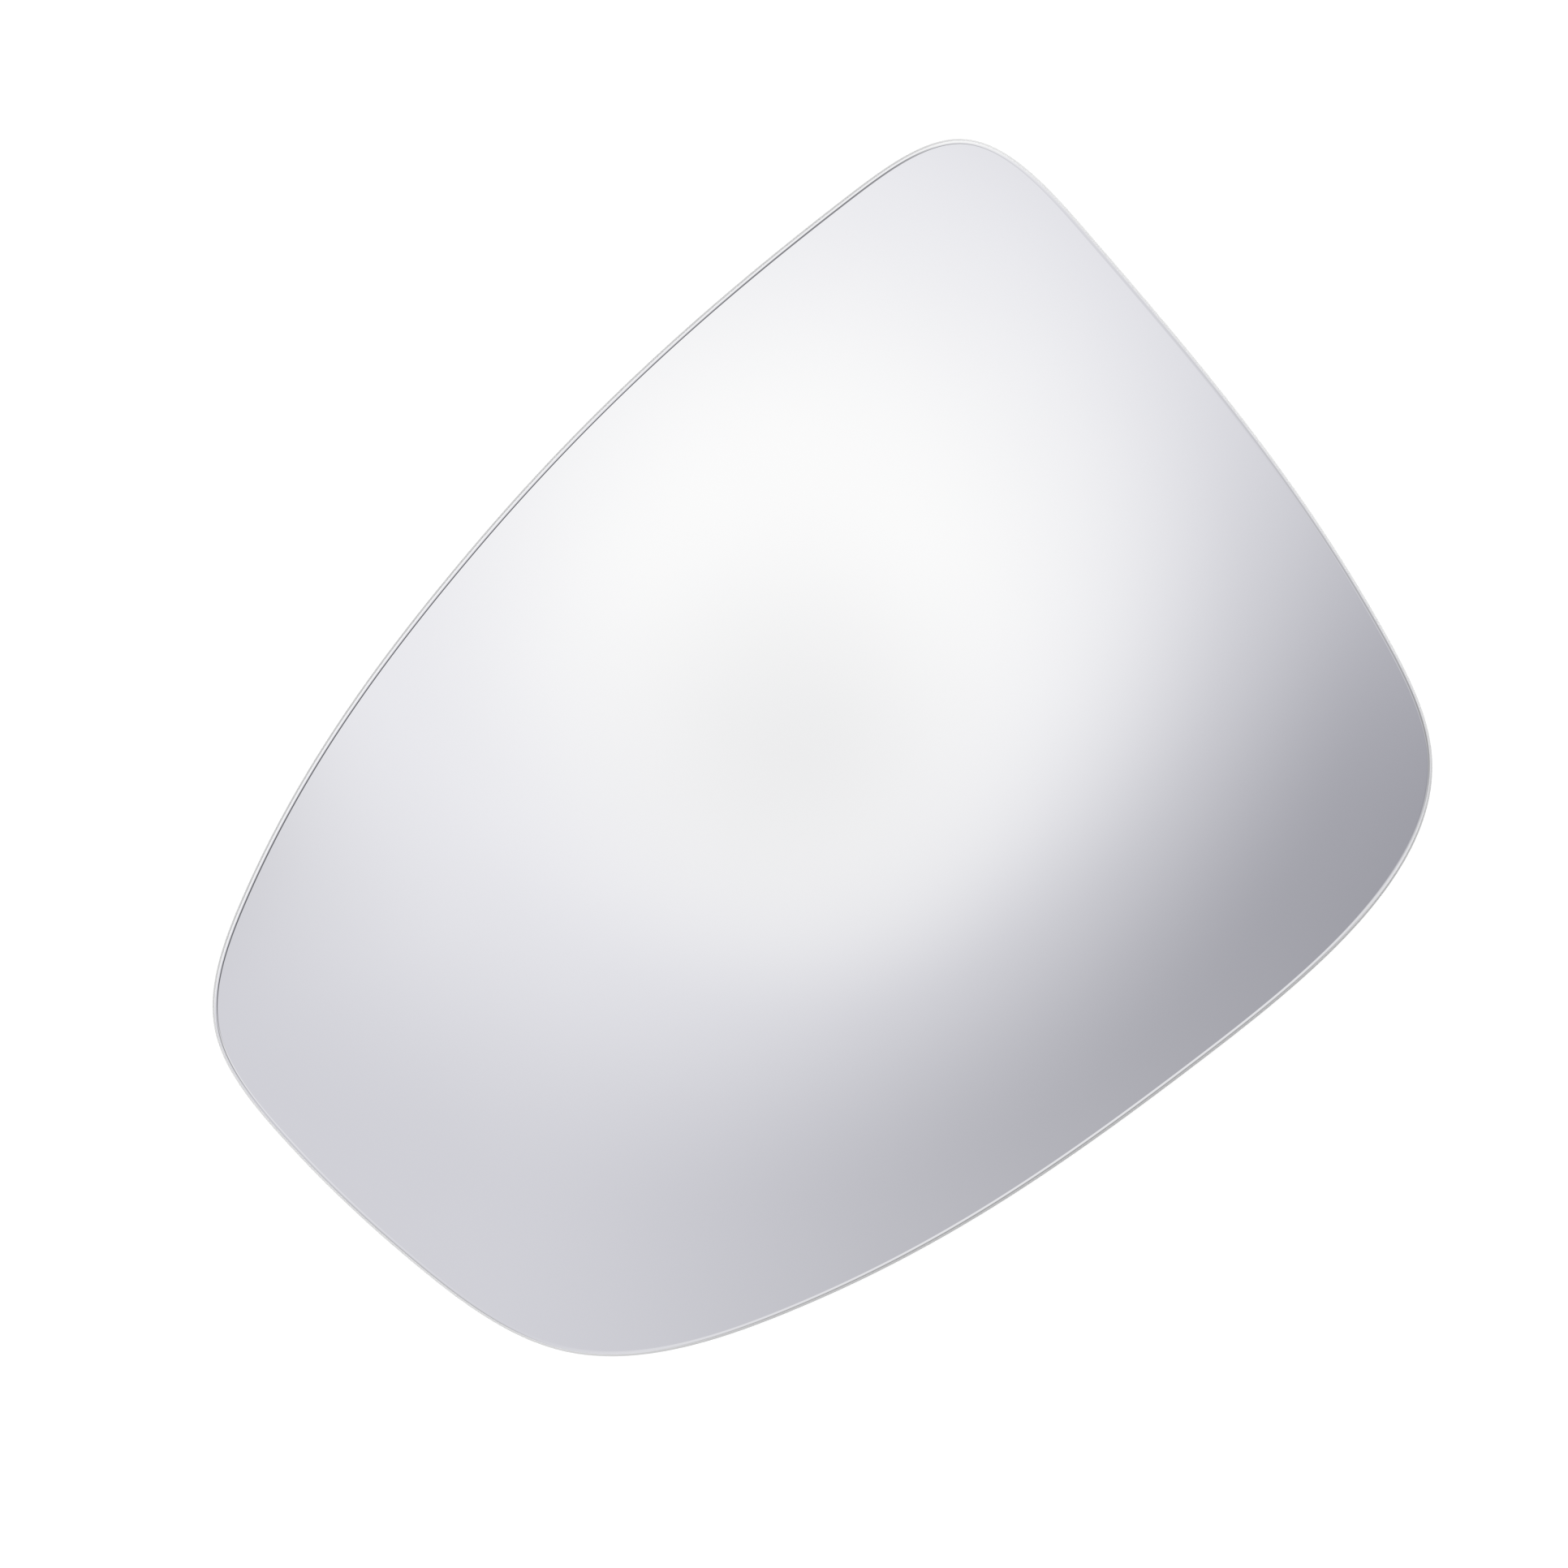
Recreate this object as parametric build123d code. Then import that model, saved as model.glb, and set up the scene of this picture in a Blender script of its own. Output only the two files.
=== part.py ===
from build123d import *
import os

# Replacement glass of a car door mirror: one sheet of silvered glass, bent to a sphere, cut to a rounded
# four-sided outline and ground round all along its edge.
# Millimetres, +Z up. The glass lies on its hollow back with the reflecting face up. +X runs along its
# length towards the tall end, +Y towards its longest side, and the origin is under the middle of its box.

# Box round the outline, seen from the front
GLASS_LENGTH = 180.0
GLASS_HEIGHT = 134.0

# Sheet: its thickness, and the radius of the sphere that the reflecting face is bent to
GLASS_THICKNESS = 2.0
FACE_RADIUS = 1260.0

# Flat that is left on the edge between the rounds ground on its front and its back
EDGE_LAND = 0.2

# Corner tips of the outline: how far each lies in from its corner of the box, along the length and
# along the height
TALL_TOP_INSET = (5.7, 4.8)
SHORT_TOP_INSET = (2.9, 35.0)
SHORT_BOTTOM_INSET = (11.6, 28.7)
TALL_BOTTOM_INSET = (10.1, 14.5)

# Points on the sides between the tips, counter-clockwise: how far each is on the way from tip to tip, as a
# share of it, and how far it bulges outwards from the straight line between them. The top side's crown, its
# middle point, is where that side runs parallel to the line.
TOP_SIDE_SHARES = (0.10, 0.55, 0.90)
TOP_SIDE_BULGES = (7.5, 16.7, 9.3)
SHORT_END_SHARES = (0.25, 0.65)
SHORT_END_BULGES = (5.0, 5.4)
BOTTOM_SIDE_SHARES = (0.20, 0.65)
BOTTOM_SIDE_BULGES = (14.9, 19.2)
TALL_END_SHARES = (0.15, 0.80)
TALL_END_BULGES = (4.8, 6.4)


def corner_tip(x_sign, y_sign, inset):
    """One corner tip, set in from the corner of the box that the signs name."""
    inset_x, inset_y = inset
    return Vector(x_sign * (GLASS_LENGTH / 2 - inset_x), y_sign * (GLASS_HEIGHT / 2 - inset_y))


def side_points(start, end, shares, bulges):
    """The points on the side that bulges out between two tips."""
    chord = end - start
    outward = chord.cross(Vector(0, 0, 1)).normalized()
    return [start + chord * share + outward * bulge for share, bulge in zip(shares, bulges)]


def outline(tall_top, short_top, short_bottom, tall_bottom):
    """Closed curve through the tips and the points between them, from the top side's crown and back."""
    tall_shoulder, crown, short_shoulder = side_points(tall_top, short_top, TOP_SIDE_SHARES, TOP_SIDE_BULGES)
    points = [
        crown,
        short_shoulder,
        short_top,
        *side_points(short_top, short_bottom, SHORT_END_SHARES, SHORT_END_BULGES),
        short_bottom,
        *side_points(short_bottom, tall_bottom, BOTTOM_SIDE_SHARES, BOTTOM_SIDE_BULGES),
        tall_bottom,
        *side_points(tall_bottom, tall_top, TALL_END_SHARES, TALL_END_BULGES),
        tall_top,
        tall_shoulder,
        crown,
    ]
    chord = short_top - tall_top
    return Spline(points, tangents=[chord, chord], tangent_scalars=[1, 1])


def spherical_sheet():
    """The sheet before it is cut: a hollow ball round the origin, its poles kept off the glass."""
    poles_along_y = (90, 0, 0)
    front = Sphere(FACE_RADIUS, rotation=poles_along_y)
    back = Sphere(FACE_RADIUS - GLASS_THICKNESS, rotation=poles_along_y)
    return front - back


def mirror_glass():
    """The finished glass, lying at rest."""
    tall_top = corner_tip(1, 1, TALL_TOP_INSET)
    short_top = corner_tip(-1, 1, SHORT_TOP_INSET)
    short_bottom = corner_tip(-1, -1, SHORT_BOTTOM_INSET)
    tall_bottom = corner_tip(1, -1, TALL_BOTTOM_INSET)
    face = make_face(outline(tall_top, short_top, short_bottom, tall_bottom))

    # A bent sheet lies on the corners that reach furthest out from the axis of its bend. It lies level
    # where that axis passes through the middle of the circle through them.
    bend_axis = ThreePointArc(tall_top, short_top, tall_bottom).arc_center
    cutter = extrude(Pos(-bend_axis.X, -bend_axis.Y) * face, FACE_RADIUS + GLASS_THICKNESS)
    sheet = spherical_sheet() & cutter

    rims = sheet.edges().filter_by(Axis.Z, reverse=True)
    glass = fillet(rims, (GLASS_THICKNESS - EDGE_LAND) / 2)

    box = glass.bounding_box()
    return Pos(-box.center().X, -box.center().Y, -box.min.Z) * glass


os.makedirs("parts", exist_ok=True)
export_step(mirror_glass(), "parts/mirror_glass.step")
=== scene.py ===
import math

import bpy
import numpy as np
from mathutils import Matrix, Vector
from mathutils.geometry import convex_hull_2d


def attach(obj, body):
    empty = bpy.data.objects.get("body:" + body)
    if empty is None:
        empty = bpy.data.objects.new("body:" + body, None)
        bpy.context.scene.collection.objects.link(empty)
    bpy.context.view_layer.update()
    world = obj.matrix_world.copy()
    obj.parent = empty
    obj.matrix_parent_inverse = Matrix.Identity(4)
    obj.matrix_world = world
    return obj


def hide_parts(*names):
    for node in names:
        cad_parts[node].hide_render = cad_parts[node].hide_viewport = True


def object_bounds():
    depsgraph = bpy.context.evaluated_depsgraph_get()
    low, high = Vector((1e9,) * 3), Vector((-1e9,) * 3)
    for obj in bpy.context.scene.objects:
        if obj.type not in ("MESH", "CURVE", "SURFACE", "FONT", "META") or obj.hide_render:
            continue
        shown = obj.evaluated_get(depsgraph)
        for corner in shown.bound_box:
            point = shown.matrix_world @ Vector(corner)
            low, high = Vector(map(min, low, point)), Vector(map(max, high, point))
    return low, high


# Glass of a car door mirror, lying face up: a silvered face, an edge ground round and a painted back.
# Metres and degrees. A bearing is counter-clockwise from the picture's right.

NODE = "mirror_glass"
BODY = "root"

# Photo: its side, the middle of the glass's box in it and the length of that box, in its pixels, and the
# turn of the glass in the picture
PHOTO_SIDE = 1932
GLASS_MIDDLE = (982.3, 1008.6)
GLASS_LENGTH = 1480.4
GLASS_TURN = 40
CAMERA_HEIGHT = 2.5

# Edge: the flat between its two rounds, the greatest slope of the faces that it joins, and the shortest
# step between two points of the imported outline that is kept
EDGE_LAND = 0.0002
FACE_SLOPE = 4
OUTLINE_STEP = 0.0002

# Mesh: points along the outline, rings from the middle of a face to its edge, the share of the face that
# the first ring takes in, steps round each side of the edge, and how many of the front's steps are silvered
OUTLINE_POINTS = 480
FACE_RINGS = 24
FIRST_RING = 0.02
ROUND_STEPS = 16
SILVERED_STEPS = 7

# Finishes: the scale and the detail of each pattern, and the colours and roughness that it runs between
FACE_HAZE = (60, 3)
FACE_COLOURS = ((0.925, 0.925, 0.945, 1), (0.935, 0.935, 0.955, 1))
FACE_ROUGHNESS = (0.0, 0.02)

EDGE_MARKS = (300, 4)
EDGE_MARK_STRETCH = (1, 1, 20)
EDGE_COLOURS = ((0.515, 0.515, 0.515, 1), (0.595, 0.595, 0.595, 1))
EDGE_ROUGHNESS = (0.2, 0.35)
GLASS_IOR = 1.52

PAINT_MOTTLE = (400, 6)
PAINT_COLOURS = ((0.22, 0.23, 0.245, 1), (0.28, 0.29, 0.305, 1))
PAINT_ROUGHNESS = (0.4, 0.55)
PAINT_PEEL = (900, 2)
PEEL_STRENGTH = 0.4
PEEL_DEPTH = 0.0001

# Values of a pattern that its range of roughness is spread over
PATTERN_SPREAD = (0.3, 0.7)

# Studio: the colour of its ceiling, and the colour and the height of the wall round the horizon, which fades
# upwards
CEILING = (0.68, 0.68, 0.715, 1)
WALL = (1.0, 1.0, 1.0, 1)
WALL_TOP = 16

# Round windows, screens and lights in front of the ceiling, from the furthest to the nearest: each one's
# tilt from the zenith and its bearing, the angles from its middle where it starts to fade and where it ends,
# and its colour
STUDIO_CARDS = {
    "left_window": ((85, 151), (14, 53), (1.0, 1.0, 1.0, 1)),
    "top_window": ((70, 87), (6, 66), (1.0, 1.0, 0.98, 1)),
    "front_window": ((64, 311), (14, 64), (0.81, 0.81, 0.82, 1)),
    "low_screen": ((75, 302), (8, 30), (0.34, 0.34, 0.34, 1)),
    "right_screen": ((50, 10), (4, 33), (0.34, 0.34, 0.34, 1)),
    "end_screen": ((46, 203), (5, 15), (0.36, 0.36, 0.36, 1)),
    "corner_screen": ((68, 234), (4, 20), (0.5, 0.5, 0.5, 1)),
    "end_light": ((27, 212), (2, 16), (0.85, 0.85, 0.86, 1)),
    "top_screen": ((19, 92), (1, 12), (0.36, 0.36, 0.37, 1)),
    "upper_screen": ((36, 115), (2, 12), (0.1, 0.1, 0.11, 1)),
    "left_screen": ((18, 138), (7, 17), (0.1, 0.1, 0.11, 1)),
    "lower_screen": ((24, 168), (9, 16), (0.16, 0.16, 0.17, 1)),
    "front_screen": ((21, 325), (3, 23), (0.0, 0.0, 0.04, 1)),
    "low_light": ((26, 308), (6, 23), (0.85, 0.85, 0.86, 1)),
    "tent_top": ((5, 112), (6, 12.6), (0.87, 0.87, 0.89, 1)),
    "rim_screen": ((16, 142), (3, 8.2), (0.1, 0.1, 0.11, 1)),
    "softbox": ((3.4, 89), (1.8, 7.8), (1.03, 1.03, 1.01, 1)),
    "lens_hood": ((0, 0), (0, 4.8), (0.91, 0.91, 0.9, 1)),
}

# Lamps low beside the two ends of the glass: each one's bearing and strength, and their height above the
# horizon and their softness
LAMPS = {"right_lamp": (56, 2.5), "left_lamp": (225, 2.1)}
LAMP_HEIGHT = 15
LAMP_SOFTNESS = 30

# Floor: how far it reaches, its colour, and the glow that makes it white to the eye
FLOOR_REACH = 20.0
FLOOR_COLOUR = (0.25, 0.25, 0.25, 1)
FLOOR_GLOW = 0.85


def add_object(name, data):
    """A new object in the scene."""
    thing = bpy.data.objects.new(name, data)
    bpy.context.scene.collection.objects.link(thing)
    return thing


def add_node(tree, kind, inputs=None, **settings):
    """A new node: its settings are set, and each input takes the value or the link that it is given."""
    node = tree.nodes.new(kind)
    for name, value in settings.items():
        setattr(node, name, value)
    for name, value in (inputs or {}).items():
        if isinstance(value, bpy.types.NodeSocket):
            tree.links.new(value, node.inputs[name])
        else:
            node.inputs[name].default_value = value
    return node


def packed_points(mesh):
    """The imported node's points."""
    points = np.empty(3 * len(mesh.vertices), np.float32)
    mesh.vertices.foreach_get("co", points)
    return points.reshape(-1, 3).astype(float)


def bend(mesh, points):
    """Middle of the ball that the glass is bent round, and the radii of its front and its back."""
    level = math.cos(math.radians(FACE_SLOPE))
    corners = {corner for face in mesh.polygons if face.normal.z > level for corner in face.vertices}
    front = points[sorted(corners)]
    system = np.column_stack([2 * front, np.ones(len(front))])
    middle = np.linalg.lstsq(system, (front**2).sum(axis=1), rcond=None)[0][:3]
    reach = np.linalg.norm(points - middle, axis=1)
    return middle, reach.max(), reach.min()


def outline_corners(points):
    """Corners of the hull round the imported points, counter-clockwise, but none close behind another."""
    hull = points[convex_hull_2d([Vector(point) for point in points[:, :2]]), :2]
    kept = [hull[0]]
    for corner in hull[1:]:
        if min(np.linalg.norm(corner - kept[-1]), np.linalg.norm(corner - hull[0])) > OUTLINE_STEP:
            kept.append(corner)
    return np.array(kept)


def closed_curve(corners):
    """Evenly spaced points on the smooth closed curve through the corners, and its outward directions."""
    chord = np.roll(corners, -1, axis=0) - corners
    span = np.linalg.norm(chord, axis=1)[:, None]
    slope = chord / span
    last_span = np.roll(span, 1, axis=0)
    count = len(corners)
    here = np.arange(count)
    system = np.zeros((count, count))
    system[here, here - 1] = span[:, 0]
    system[here, here] = 2 * (span + last_span)[:, 0]
    system[here, (here + 1) % count] = last_span[:, 0]
    start_slope = np.linalg.solve(system, 3 * (span * np.roll(slope, 1, axis=0) + last_span * slope))
    end_slope = np.roll(start_slope, -1, axis=0)

    way = np.concatenate([[0], np.cumsum(span)])
    place = np.linspace(0, way[-1], OUTLINE_POINTS, endpoint=False)
    piece = np.searchsorted(way, place, side="right") - 1
    part = ((place - way[piece]) / span[piece, 0])[:, None]
    square = (3 * slope - 2 * start_slope - end_slope)[piece]
    cube = (start_slope + end_slope - 2 * slope)[piece]
    points = corners[piece] + span[piece] * part * (start_slope[piece] + part * (square + part * cube))
    tangent = start_slope[piece] + part * (2 * square + 3 * part * cube)
    tangent /= np.linalg.norm(tangent, axis=1)[:, None]
    return points, np.column_stack([tangent[:, 1], -tangent[:, 0]])


def lifted(flat, middle, radius):
    """Points of the plan raised to the top of a sphere."""
    rise = np.sqrt(radius**2 - ((flat - middle[:2]) ** 2).sum(axis=-1))
    return np.concatenate([flat, (middle[2] + rise)[..., None]], axis=-1)


def turned(start, end):
    """Directions that turn evenly from one set to another, in the steps of one side of the edge."""
    angle = np.arccos((start * end).sum(axis=-1))[:, None]
    shares = np.linspace(0, 1, ROUND_STEPS + 1)[:, None, None]
    return (np.sin((1 - shares) * angle) * start + np.sin(shares * angle) * end) / np.sin(angle)


def bent_face(edge, middle, radius, side):
    """Rings from the middle of a spherical face out to its edge, and the directions that its side faces."""
    shares = np.linspace(FIRST_RING, 1, FACE_RINGS)[:, None, None]
    centre = edge[:, :2].mean(axis=0)
    rings = lifted(centre + shares * (edge[:, :2] - centre), middle, radius)
    return rings, side * (rings - middle) / radius


def closed_skin(name, strips):
    """A closed mesh from strips of rings that follow each other from the middle of the top to that of the
    bottom. Each strip has its rings, the directions that they face, and its material."""
    count = OUTLINE_POINTS
    here = np.arange(count)
    ahead = (here + 1) % count
    top_rings, top_directions, top_material = strips[0]
    bottom_directions, bottom_material = strips[-1][1:]
    vertices = [top_rings[0]]
    faces = [here.tolist()]
    facing = [top_directions[0]]
    finishes = [top_material]
    materials = []
    for rings, directions, material in strips:
        if material not in materials:
            materials.append(material)
        for ring, inner, outer in zip(rings[1:], directions[:-1], directions[1:]):
            start = (len(vertices) - 1) * count
            vertices.append(ring)
            quads = np.column_stack([here, here + count, ahead + count, ahead]) + start
            faces += quads.tolist()
            facing.append(np.stack([inner, outer, outer[ahead], inner[ahead]], axis=1).reshape(-1, 3))
            finishes += [material] * count
    faces.append((here[::-1] + (len(vertices) - 1) * count).tolist())
    facing.append(bottom_directions[-1][::-1])
    finishes.append(bottom_material)

    mesh = bpy.data.meshes.new(name)
    mesh.from_pydata(np.concatenate(vertices).tolist(), [], faces, shade_flat=False)
    for material in materials:
        mesh.materials.append(material)
    mesh.polygons.foreach_set("material_index", [materials.index(finish) for finish in finishes])
    mesh.normals_split_custom_set(np.concatenate(facing).tolist())
    return add_object(name, mesh)


def principled(name):
    """A new material, its node tree and its Principled shader."""
    material = bpy.data.materials.new(name)
    material.use_nodes = True
    return material, material.node_tree, material.node_tree.nodes["Principled BSDF"]


def noise(tree, grain, stretch=(1, 1, 1)):
    """A noise pattern on the glass's own coordinates."""
    scale, detail = grain
    place = add_node(tree, "ShaderNodeTexCoord").outputs["Object"]
    stretched = add_node(tree, "ShaderNodeMapping", {"Vector": place, "Scale": stretch}).outputs["Vector"]
    pattern = add_node(tree, "ShaderNodeTexNoise", {"Vector": stretched, "Scale": scale, "Detail": detail})
    return pattern.outputs["Fac"]


def vary(tree, shader, pattern, colours, roughness):
    """Lets a shader's colour and roughness run between their two ends with a pattern."""
    ramp = add_node(tree, "ShaderNodeValToRGB", {"Fac": pattern})
    for stop, colour in zip(ramp.color_ramp.elements, colours):
        stop.color = colour
    tree.links.new(ramp.outputs["Color"], shader.inputs["Base Color"])
    low, high = PATTERN_SPREAD
    smooth, rough = roughness
    spread = {"Value": pattern, "From Min": low, "From Max": high, "To Min": smooth, "To Max": rough}
    ranged = add_node(tree, "ShaderNodeMapRange", spread)
    tree.links.new(ranged.outputs["Result"], shader.inputs["Roughness"])


def silvered_face():
    """Polished glass over silver."""
    material, tree, shader = principled("silvered_face")
    shader.inputs["Metallic"].default_value = 1
    vary(tree, shader, noise(tree, FACE_HAZE), FACE_COLOURS, FACE_ROUGHNESS)
    return material


def ground_edge():
    """Glass ground to a satin finish, with fine marks along the edge."""
    material, tree, shader = principled("ground_edge")
    shader.inputs["IOR"].default_value = GLASS_IOR
    vary(tree, shader, noise(tree, EDGE_MARKS, EDGE_MARK_STRETCH), EDGE_COLOURS, EDGE_ROUGHNESS)
    return material


def back_paint():
    """Grey paint over the silvering, sprayed, with a slight orange peel."""
    material, tree, shader = principled("back_paint")
    vary(tree, shader, noise(tree, PAINT_MOTTLE), PAINT_COLOURS, PAINT_ROUGHNESS)
    peel = {"Height": noise(tree, PAINT_PEEL), "Strength": PEEL_STRENGTH, "Distance": PEEL_DEPTH}
    tree.links.new(add_node(tree, "ShaderNodeBump", peel).outputs["Normal"], shader.inputs["Normal"])
    return material


def add_glass(mesh):
    """The glass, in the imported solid's form."""
    points = packed_points(mesh)
    middle, front_radius, back_radius = bend(mesh, points)
    edge_round = (front_radius - back_radius - EDGE_LAND) / 2
    outline, outward = closed_curve(outline_corners(points))

    inset = outline - edge_round * outward
    level = np.column_stack([outward, np.zeros(len(outward))])
    front_balls = lifted(inset, middle, front_radius - edge_round)
    back_balls = lifted(inset, middle, back_radius + edge_round)
    front_turn = turned((front_balls - middle) / (front_radius - edge_round), level)
    back_turn = turned(level, (middle - back_balls) / (back_radius + edge_round))
    front_round = front_balls + edge_round * front_turn
    back_round = back_balls + edge_round * back_turn

    front, front_facing = bent_face(front_round[0], middle, front_radius, 1)
    back, back_facing = bent_face(back_round[-1], middle, back_radius, -1)
    edge = np.concatenate([front_round, back_round])
    edge_facing = np.concatenate([front_turn, back_turn])
    silvered = silvered_face()
    glass = closed_skin(
        "silvered_glass_sheet",
        [
            (front, front_facing, silvered),
            (edge[: SILVERED_STEPS + 1], edge_facing[: SILVERED_STEPS + 1], silvered),
            (edge[SILVERED_STEPS:], edge_facing[SILVERED_STEPS:], ground_edge()),
            (back[::-1], back_facing[::-1], back_paint()),
        ],
    )
    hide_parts(NODE)
    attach(glass, BODY)


def add_camera(box):
    """Camera straight above, which sees the glass where the photo shows it."""
    low, high = box
    scale = (high.x - low.x) / GLASS_LENGTH
    turn = -math.radians(GLASS_TURN)
    right = Vector((math.cos(turn), math.sin(turn), 0))
    up = Vector((-math.sin(turn), math.cos(turn), 0))
    across = GLASS_MIDDLE[0] - PHOTO_SIDE / 2
    above = PHOTO_SIDE / 2 - GLASS_MIDDLE[1]
    middle = (low + high) / 2
    data = bpy.data.cameras.new("camera")
    data.lens = data.sensor_width * CAMERA_HEIGHT / (scale * PHOTO_SIDE)
    camera = add_object("camera", data)
    camera.location = middle + Vector((0, 0, CAMERA_HEIGHT)) - scale * (across * right + above * up)
    camera.rotation_euler = (0, 0, turn)
    bpy.context.scene.camera = camera


def studio_direction(tilt, bearing):
    """Direction that is tilted from the zenith towards a bearing."""
    aside = math.sin(math.radians(tilt))
    turn = math.radians(bearing - GLASS_TURN)
    return aside * math.cos(turn), aside * math.sin(turn), math.cos(math.radians(tilt))


def chord_length(angle):
    """Distance between two unit directions that lie an angle apart."""
    return 2 * math.sin(math.radians(angle) / 2)


def laid_over(tree, below, colour, distance, inner, outer):
    """A colour laid over what is below it, which fades out from one distance to another."""
    fade = {"Value": distance, "From Min": inner, "From Max": outer, "To Min": 1, "To Max": 0}
    share = add_node(tree, "ShaderNodeMapRange", fade, interpolation_type="SMOOTHSTEP").outputs["Result"]
    layers = {"Factor": share, "A": below, "B": colour}
    return add_node(tree, "ShaderNodeMix", layers, data_type="RGBA").outputs["Result"]


def light_studio():
    """The studio all round: a grey ceiling behind round cards, and a white wall round the horizon."""
    world = bpy.data.worlds.new("studio")
    world.use_nodes = True
    bpy.context.scene.world = world
    tree = world.node_tree
    way = add_node(tree, "ShaderNodeTexCoord").outputs["Generated"]
    seen = CEILING
    for aim, (inner, outer), colour in STUDIO_CARDS.values():
        middle = {0: way, 1: studio_direction(*aim)}
        off = add_node(tree, "ShaderNodeVectorMath", middle, operation="DISTANCE").outputs["Value"]
        seen = laid_over(tree, seen, colour, off, chord_length(inner), chord_length(outer))
    height = add_node(tree, "ShaderNodeSeparateXYZ", {"Vector": way}).outputs["Z"]
    seen = laid_over(tree, seen, WALL, height, 0, math.sin(math.radians(WALL_TOP)))
    tree.links.new(seen, tree.nodes["Background"].inputs["Color"])


def add_lamps():
    """Soft lamps that light the ground edge at the two ends. The silvered face doesn't show them."""
    for name, (bearing, strength) in LAMPS.items():
        data = bpy.data.lights.new(name, "SUN")
        data.angle = math.radians(LAMP_SOFTNESS)
        data.energy = strength
        lamp = add_object(name, data)
        lamp.visible_glossy = False
        towards = Vector(studio_direction(90 - LAMP_HEIGHT, bearing))
        lamp.rotation_euler = towards.to_track_quat("Z", "Y").to_euler()


def glowing_floor():
    """A pale finish that glows for what looks at it, so that it is white and still takes a shadow."""
    material = bpy.data.materials.new("floor")
    material.use_nodes = True
    tree = material.node_tree
    tree.nodes.remove(tree.nodes["Principled BSDF"])
    path = add_node(tree, "ShaderNodeLightPath").outputs
    seen = path["Is Camera Ray"]
    for ray in ("Is Glossy Ray", "Is Transmission Ray"):
        either = {0: seen, 1: path[ray]}
        seen = add_node(tree, "ShaderNodeMath", either, operation="MAXIMUM").outputs["Value"]
    share = {0: seen, 1: FLOOR_GLOW}
    glow = add_node(tree, "ShaderNodeMath", share, operation="MULTIPLY").outputs["Value"]
    lit = add_node(tree, "ShaderNodeBsdfDiffuse", {"Color": FLOOR_COLOUR}).outputs["BSDF"]
    glowing = add_node(tree, "ShaderNodeEmission", {"Strength": glow}).outputs["Emission"]
    both = add_node(tree, "ShaderNodeAddShader", {0: lit, 1: glowing}).outputs["Shader"]
    tree.links.new(both, tree.nodes["Material Output"].inputs["Surface"])
    return material


def add_floor():
    """A plain pale floor under the glass."""
    reach = FLOOR_REACH
    corners = [(-reach, -reach, 0), (reach, -reach, 0), (reach, reach, 0), (-reach, reach, 0)]
    mesh = bpy.data.meshes.new("floor")
    mesh.from_pydata(corners, [], [range(len(corners))])
    mesh.materials.append(glowing_floor())
    add_object("floor", mesh)


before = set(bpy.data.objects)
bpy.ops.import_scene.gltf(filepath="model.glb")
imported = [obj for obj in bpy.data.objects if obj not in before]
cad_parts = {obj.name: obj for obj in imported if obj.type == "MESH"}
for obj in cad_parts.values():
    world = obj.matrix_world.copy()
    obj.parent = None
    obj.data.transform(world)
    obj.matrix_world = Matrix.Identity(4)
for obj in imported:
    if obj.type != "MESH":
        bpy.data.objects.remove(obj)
cad_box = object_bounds()
bpy.context.scene.view_settings.view_transform = "Standard"
add_camera(cad_box)
light_studio()
add_lamps()
add_floor()
add_glass(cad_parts[NODE].data)
